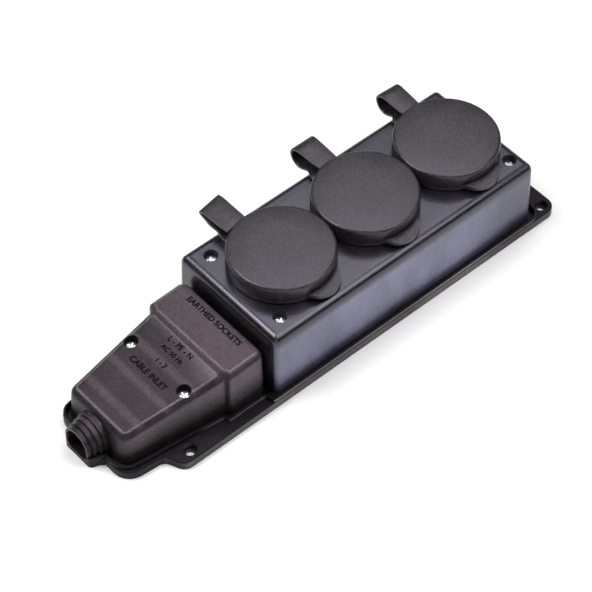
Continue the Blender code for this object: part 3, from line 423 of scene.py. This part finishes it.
def soft_facets():
    """Node group that shades a mesh's facets as one curve, up to real edges, and keeps its flats flat."""
    group = bpy.data.node_groups.new("soft_facets", "GeometryNodeTree")
    for way in ("INPUT", "OUTPUT"):
        group.interface.new_socket("Geometry", in_out=way, socket_type="NodeSocketGeometry")
    join = group.links.new
    angle = group.nodes.new("GeometryNodeInputMeshEdgeAngle").outputs["Unsigned Angle"]
    weld = add_node(group, "GeometryNodeMergeByDistance", Distance=WELD_DISTANCE)
    join(group.nodes.new("NodeGroupInput").outputs[0], weld.inputs[0])
    # The area of the flat that each face belongs to
    flats = group.nodes.new("GeometryNodeSplitEdges")
    join(weld.outputs[0], flats.inputs["Mesh"])
    join(combine(group, "GREATER_THAN", angle, FLAT_ANGLE), flats.inputs["Selection"])
    total = add_node(group, "GeometryNodeAccumulateField", data_type="FLOAT", domain="FACE")
    join(group.nodes.new("GeometryNodeInputMeshFaceArea").outputs[0], total.inputs[0])
    join(group.nodes.new("GeometryNodeInputMeshIsland").outputs["Island Index"], total.inputs["Group ID"])
    area = add_node(group, "GeometryNodeSampleIndex", data_type="FLOAT", domain="FACE")
    join(flats.outputs[0], area.inputs["Geometry"])
    join(total.outputs["Total"], area.inputs["Value"])
    join(group.nodes.new("GeometryNodeInputIndex").outputs[0], area.inputs["Index"])
    # The normal of the largest flat round each vertex, or the smooth one where there is none
    corner = group.nodes.new("GeometryNodeCornersOfVertex")
    join(combine(group, "MULTIPLY", area.outputs[0], -1.0), corner.inputs["Weights"])
    face = group.nodes.new("GeometryNodeFaceOfCorner")
    join(corner.outputs["Corner Index"], face.inputs["Corner Index"])
    largest = add_node(group, "GeometryNodeFieldAtIndex", data_type="FLOAT", domain="FACE")
    flat_normal = add_node(group, "GeometryNodeFieldAtIndex", data_type="FLOAT_VECTOR", domain="FACE")
    normal = group.nodes.new("GeometryNodeInputNormal").outputs["Normal"]
    for node, value in ((largest, area.outputs[0]), (flat_normal, normal)):
        join(face.outputs["Face Index"], node.inputs["Index"])
        join(value, node.inputs["Value"])
    choice = add_node(group, "GeometryNodeSwitch", input_type="VECTOR")
    join(combine(group, "GREATER_THAN", largest.outputs[0], FLAT_AREA), choice.inputs["Switch"])
    join(normal, choice.inputs["False"])
    join(flat_normal.outputs[0], choice.inputs["True"])
    edges = group.nodes.new("GeometryNodeSplitEdges")
    join(combine(group, "GREATER_THAN", angle, REAL_EDGE_ANGLE), edges.inputs["Selection"])
    smooth = group.nodes.new("GeometryNodeSetShadeSmooth")
    shading = add_node(group, "GeometryNodeSetMeshNormal", mode="FREE", domain="POINT")
    join(choice.outputs[0], shading.inputs["Custom Normal"])
    chain = (weld, edges, smooth, shading, group.nodes.new("NodeGroupOutput"))
    for before, after in zip(chain, chain[1:]):
        join(before.outputs[0], after.inputs[0])
    return group


facet_shading = soft_facets()
for entry in frame["record"]["subparts"]:
    item = frame["nodes"][entry["node"]]
    item.data.materials.clear()
    item.data.materials.append(own_finishes.get(entry["node"], finishes[entry["material_slot"]]))
    item.modifiers.new("soft_facets", "NODES").node_group = facet_shading


def add_piece(name, shape, slot, smooth_angle=35.0):
    """A visual piece from a bmesh, with the finish of its slot."""
    bmesh.ops.recalc_face_normals(shape, faces=shape.faces)
    mesh = bpy.data.meshes.new(name)
    shape.to_mesh(mesh)
    shape.free()
    mesh.materials.append(finishes[slot])
    mesh.shade_smooth()
    mesh.set_sharp_from_angle(angle=math.radians(smooth_angle))
    item = bpy.data.objects.new(name, mesh)
    scene.collection.objects.link(item)
    return item


def rounded_section(half_width, half_height, radius, steps=3):
    """A rounded rectangle about the origin, as (across, up) points."""
    points = []
    for quarter, (side, rise) in enumerate(((1, 1), (-1, 1), (-1, -1), (1, -1))):
        for step in range(steps + 1):
            angle = math.pi / 2 * (quarter + step / steps)
            across = side * (half_width - radius) + radius * math.cos(angle)
            up = rise * (half_height - radius) + radius * math.sin(angle)
            points.append((across, up))
    return points


def add_loft(shape, rings, closed=False):
    """Joins rings of points into a skin, closed on itself or with flat ends."""
    rows = [[shape.verts.new(point) for point in ring] for ring in rings]
    count = len(rows[0])
    pairs = list(zip(rows, rows[1:]))
    if closed:
        pairs.append((rows[-1], rows[0]))
    else:
        shape.faces.new(rows[0])
        shape.faces.new(rows[-1])
    for low, high in pairs:
        for i in range(count):
            j = (i + 1) % count
            shape.faces.new((low[i], low[j], high[j], high[i]))


def curve_value(a, b, c, d, t):
    """A value between b and c on the smooth curve through four values."""
    square = (2 * a - 5 * b + 4 * c - d) * t * t
    cube = (3 * b - a - 3 * c + d) * t ** 3
    return 0.5 * (2 * b + (c - a) * t + square + cube)


def smooth_path(points, steps):
    """A curve through the points, with each stretch cut into steps."""
    path = []
    for index in range(len(points) - 1):
        before = points[max(index - 1, 0)]
        start = points[index]
        end = points[index + 1]
        after = points[min(index + 2, len(points) - 1)]
        for step in range(steps):
            values = zip(before, start, end, after)
            path.append(tuple(curve_value(*four, step / steps) for four in values))
    path.append(points[-1])
    return path


# Each strap from its ring to its cap, as (across, out, up) points
flat_loop = (
    (0.0, 0.0345, 0.0450), (0.0, 0.0390, 0.0461), (0.0008, 0.0430, 0.0470), (0.0012, 0.0456, 0.0479),
    (0.0012, 0.0464, 0.0490), (0.0010, 0.0453, 0.0501), (0.0006, 0.0420, 0.0506), (-0.0004, 0.0360, 0.0508),
    (-0.0012, 0.0300, 0.0508), (-0.0016, 0.0269, 0.0507),
)
round_loop = (
    (0.0, 0.0345, 0.0436), (0.0, 0.0380, 0.0422), (0.0, 0.0412, 0.0412), (0.0, 0.0443, 0.0419),
    (0.0, 0.0464, 0.0444), (0.0, 0.0469, 0.0473), (0.0, 0.0456, 0.0498), (0.0, 0.0424, 0.0509),
    (0.0, 0.0360, 0.0509), (0.0, 0.0300, 0.0508), (0.0, 0.0269, 0.0507),
)
short_loop = tuple(
    (x, y - SHORT_LOOP_LESS * min(1.0, (y - STRAP_CAP_END) / SHORT_LOOP_REACH), z) for x, y, z in round_loop
)
# Loop, width at the bend and width at the cap
strap_forms = ((flat_loop, 0.0140, 0.0130), (round_loop, 0.0136, 0.0113), (short_loop, 0.0128, 0.0108))


def add_strap(number, centre, turn, loop, bend_width, cap_width):
    """The ring round the collar and the band that loops from it up to the cap."""
    shape = bmesh.new()
    half_depth = (RING_OUTER - RING_INNER) / 2
    middle = (RING_OUTER + RING_INNER) / 2
    height = (RING_LOW + RING_HIGH) / 2
    section = rounded_section(half_depth, (RING_HIGH - RING_LOW) / 2, STRAP_EDGE)
    ring = []
    for step in range(RING_SEGMENTS):
        angle = 2 * math.pi * step / RING_SEGMENTS
        ring.append([
            ((middle + a) * math.cos(angle), (middle + a) * math.sin(angle), height + b) for a, b in section
        ])
    add_loft(shape, ring, closed=True)
    points = [(0.0, out, height, STRAP_FLARE_WIDTH) for out in (STRAP_ROOT, STRAP_FLARE_END)]
    for index, (x, y, z) in enumerate(loop):
        share = max(0.0, (index - STRAP_BEND_POINT) / (len(loop) - 1 - STRAP_BEND_POINT))
        points.append((x, y, z, bend_width + (cap_width - bend_width) * share))
    path = smooth_path(points, STRAP_STEPS)
    rings = []
    for index, (x, y, z, across) in enumerate(path):
        low = path[max(index - 1, 0)]
        high = path[min(index + 1, len(path) - 1)]
        along = Vector((high[1] - low[1], high[2] - low[2])).normalized()
        section = rounded_section(across / 2, STRAP_THICKNESS / 2, STRAP_EDGE)
        rings.append([(x + a, y - along.y * b, z + along.x * b) for a, b in section])
    add_loft(shape, rings)
    bmesh.ops.transform(shape, matrix=Matrix.Translation(centre) @ turn, verts=shape.verts)
    strap = add_piece(f"rubber_strap_{number}", shape, "cap_rubber")
    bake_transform(strap)
    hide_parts(f"cap_strap_{number}")


for number, (joint, form) in enumerate(zip(frame["joints"], strap_forms), 1):
    low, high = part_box(f"socket_insert_{number}")
    axis = joint["axis"]
    turn = Matrix.Rotation(math.atan2(-axis[1], -axis[0]), 4, "Z")
    add_strap(number, Vector(((low.x + high.x) / 2, 0.0, 0.0)), turn, *form)


def cross_depth(x, y):
    """Depth of the cross recess at a place on a screw head, deepest in the middle."""
    across = min(abs(x), abs(y))
    along = max(abs(x), abs(y))
    side = min(max((CROSS_WIDTH / 2 - across) / CROSS_WALL, 0.0), 1.0)
    return CROSS_DEPTH * side * min(max((CROSS_REACH - along) / CROSS_RAMP, 0.0), 1.0)


def add_screw(node, angle):
    """A pan-head screw with a cross recess, in place of the plain one."""
    low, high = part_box(node)
    centre = (low + high) / 2
    shape = bmesh.new()
    rings = []
    for step in range(1, HEAD_RINGS + 1):
        radius = HEAD_RADIUS * step / HEAD_RINGS
        fall = HEAD_DOME * (step / HEAD_RINGS) ** 2
        ring = []
        for segment in range(HEAD_SEGMENTS):
            turn = 2 * math.pi * segment / HEAD_SEGMENTS
            x = radius * math.cos(turn)
            y = radius * math.sin(turn)
            ring.append((x, y, high.z - fall - cross_depth(x, y)))
        rings.append(ring)
    for radius, z in (
        (HEAD_RADIUS, high.z - HEAD_HEIGHT), (SHANK_RADIUS, high.z - HEAD_HEIGHT),
        (SHANK_RADIUS, low.z + SHANK_RADIUS), (TIP_RADIUS, low.z),
    ):
        rings.append([
            (radius * math.cos(turn), radius * math.sin(turn), z)
            for turn in (2 * math.pi * segment / HEAD_SEGMENTS for segment in range(HEAD_SEGMENTS))
        ])
    add_loft(shape, rings)
    place = Matrix.Translation((centre.x, centre.y, 0.0)) @ Matrix.Rotation(angle, 4, "Z")
    bmesh.ops.transform(shape, matrix=place, verts=shape.verts)
    screw = add_piece(f"cross_head_{node}", shape, "zinc_steel", HEAD_SMOOTH_ANGLE)
    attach(screw, "block")
    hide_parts(node)


for count, node in enumerate(HOUSING_SCREWS + COVER_SCREWS):
    add_screw(node, math.radians(FIRST_SCREW_TURN + SCREW_TURN_STEP * count))


def add_mark(name, words, x, height):
    """Moulded lettering on the cover's sloping top, read from the cable end."""
    letters = bpy.data.curves.new(name, "FONT")
    letters.body = words
    letters.size = height
    letters.align_x = "CENTER"
    letters.align_y = "CENTER"
    letters.extrude = MARK_DEPTH / 2
    letters.offset = MARK_BOLD
    letters.materials.append(mark_finish)
    item = bpy.data.objects.new(name, letters)
    scene.collection.objects.link(item)
    if x < SHOULDER:
        rise = COVER_SLOPE
        low = COVER_LOW + (x - COVER_END) * rise
    else:
        rise = WIDE_SLOPE
        low = WIDE_LOW + (x - SHOULDER) * rise
    slope = Matrix.Rotation(-math.atan(rise), 4, "Y")
    place = Matrix.Translation((x, 0.0, low + MARK_DEPTH / 2))
    item.matrix_world = place @ slope @ Matrix.Rotation(-math.pi / 2, 4, "Z")
    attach(item, "block")


add_mark("mark_sockets", "EARTHED SOCKETS", x=-0.0538, height=0.0043)
add_mark("mark_poles", "L - PE - N", x=-0.0746, height=0.0042)
add_mark("mark_supply", "AC 50 Hz", x=-0.0798, height=0.0036)
add_mark("mark_group", "1 - 3", x=-0.0866, height=0.0038)
add_mark("mark_inlet", "CABLE INLET", x=-0.0945, height=0.0044)


def add_camera():
    """The camera that took the photo, as fitted to it."""
    lens = bpy.data.cameras.new("photo_camera")
    lens.lens = CAMERA_LENS
    lens.sensor_width = CAMERA_SENSOR
    lens.clip_start = CAMERA_NEAREST
    camera = bpy.data.objects.new("photo_camera", lens)
    tilt = Matrix.Rotation(math.pi / 2 - CAMERA_ELEVATION, 4, "X")
    turn = Matrix.Rotation(CAMERA_AZIMUTH, 4, "Z")
    roll = Matrix.Rotation(CAMERA_ROLL, 4, "Z")
    camera.matrix_world = Matrix.Translation(CAMERA_PLACE) @ turn @ tilt @ roll
    scene.collection.objects.link(camera)
    scene.camera = camera


def add_softbox(name, place, size, brightness):
    """A rectangular lamp that faces the part, with its brightness per area."""
    lamp = bpy.data.lights.new(name, "AREA")
    lamp.shape = "RECTANGLE"
    lamp.size, lamp.size_y = size
    lamp.energy = brightness * math.pi * size[0] * size[1]
    item = bpy.data.objects.new(name, lamp)
    item.location = place
    item.rotation_euler = (-Vector(place)).to_track_quat("-Z", "Y").to_euler()
    scene.collection.objects.link(item)


def add_floor():
    """A sheet of white paper, a little brighter where it is seen, that keeps the part's shadow."""
    shape = bmesh.new()
    bmesh.ops.create_grid(shape, x_segments=1, y_segments=1, size=FLOOR_HALF_SIZE)
    mesh = bpy.data.meshes.new("floor")
    shape.to_mesh(mesh)
    shape.free()
    paper = bpy.data.materials.new("white_paper")
    paper.use_nodes = True
    tree = paper.node_tree
    shader = tree.nodes["Principled BSDF"]
    shader.inputs["Base Color"].default_value = (FLOOR_COLOUR, FLOOR_COLOUR, FLOOR_COLOUR, 1.0)
    shader.inputs["Roughness"].default_value = FLOOR_ROUGHNESS
    shader.inputs["Specular IOR Level"].default_value = FLOOR_GLOSS
    shader.inputs["Emission Color"].default_value = (1.0, 1.0, 1.0, 1.0)
    rays = tree.nodes.new("ShaderNodeLightPath").outputs
    seen = combine(tree, "MAXIMUM", rays["Is Camera Ray"], rays["Is Glossy Ray"])
    seen = combine(tree, "MAXIMUM", seen, rays["Is Transmission Ray"])
    tree.links.new(combine(tree, "MULTIPLY", seen, FLOOR_LIFT), shader.inputs["Emission Strength"])
    mesh.materials.append(paper)
    floor = bpy.data.objects.new("floor", mesh)
    scene.collection.objects.link(floor)


def set_world():
    """A pale sky overhead and behind that falls off to a dark horizon and towards the camera."""
    world = bpy.data.worlds.new("studio")
    world.use_nodes = True
    tree = world.node_tree
    back = tree.nodes["Background"]
    back.inputs["Color"].default_value = (1.0, 1.0, 1.0, 1.0)
    parts = tree.nodes.new("ShaderNodeSeparateXYZ")
    tree.links.new(tree.nodes.new("ShaderNodeTexCoord").outputs["Generated"], parts.inputs[0])
    glow = spread(tree, parts.outputs[2], SKY_START, SKY_FULL, HORIZON, SKY)
    behind = combine(tree, "ADD", parts.outputs[0], parts.outputs[1])
    share = spread(tree, behind, *CAMERA_SIDE, CAMERA_SIDE_SHARE, 1.0)
    tree.links.new(combine(tree, "MULTIPLY", glow, share), back.inputs["Strength"])
    scene.world = world


add_camera()
add_floor()
set_world()
add_softbox("overhead_softbox", place=(0.345, 0.29, 1.05), size=(0.58, 0.82), brightness=2.45)
add_softbox("back_softbox", place=(-0.37, 0.33, 0.84), size=(0.48, 0.38), brightness=9.4)
add_softbox("front_softbox", place=(0.31, -0.46, 0.86), size=(0.46, 0.82), brightness=4.2)
add_softbox("side_softbox", place=(-0.55, -0.85, 0.45), size=(0.60, 0.50), brightness=1.6)
scene.view_settings.view_transform = "Standard"
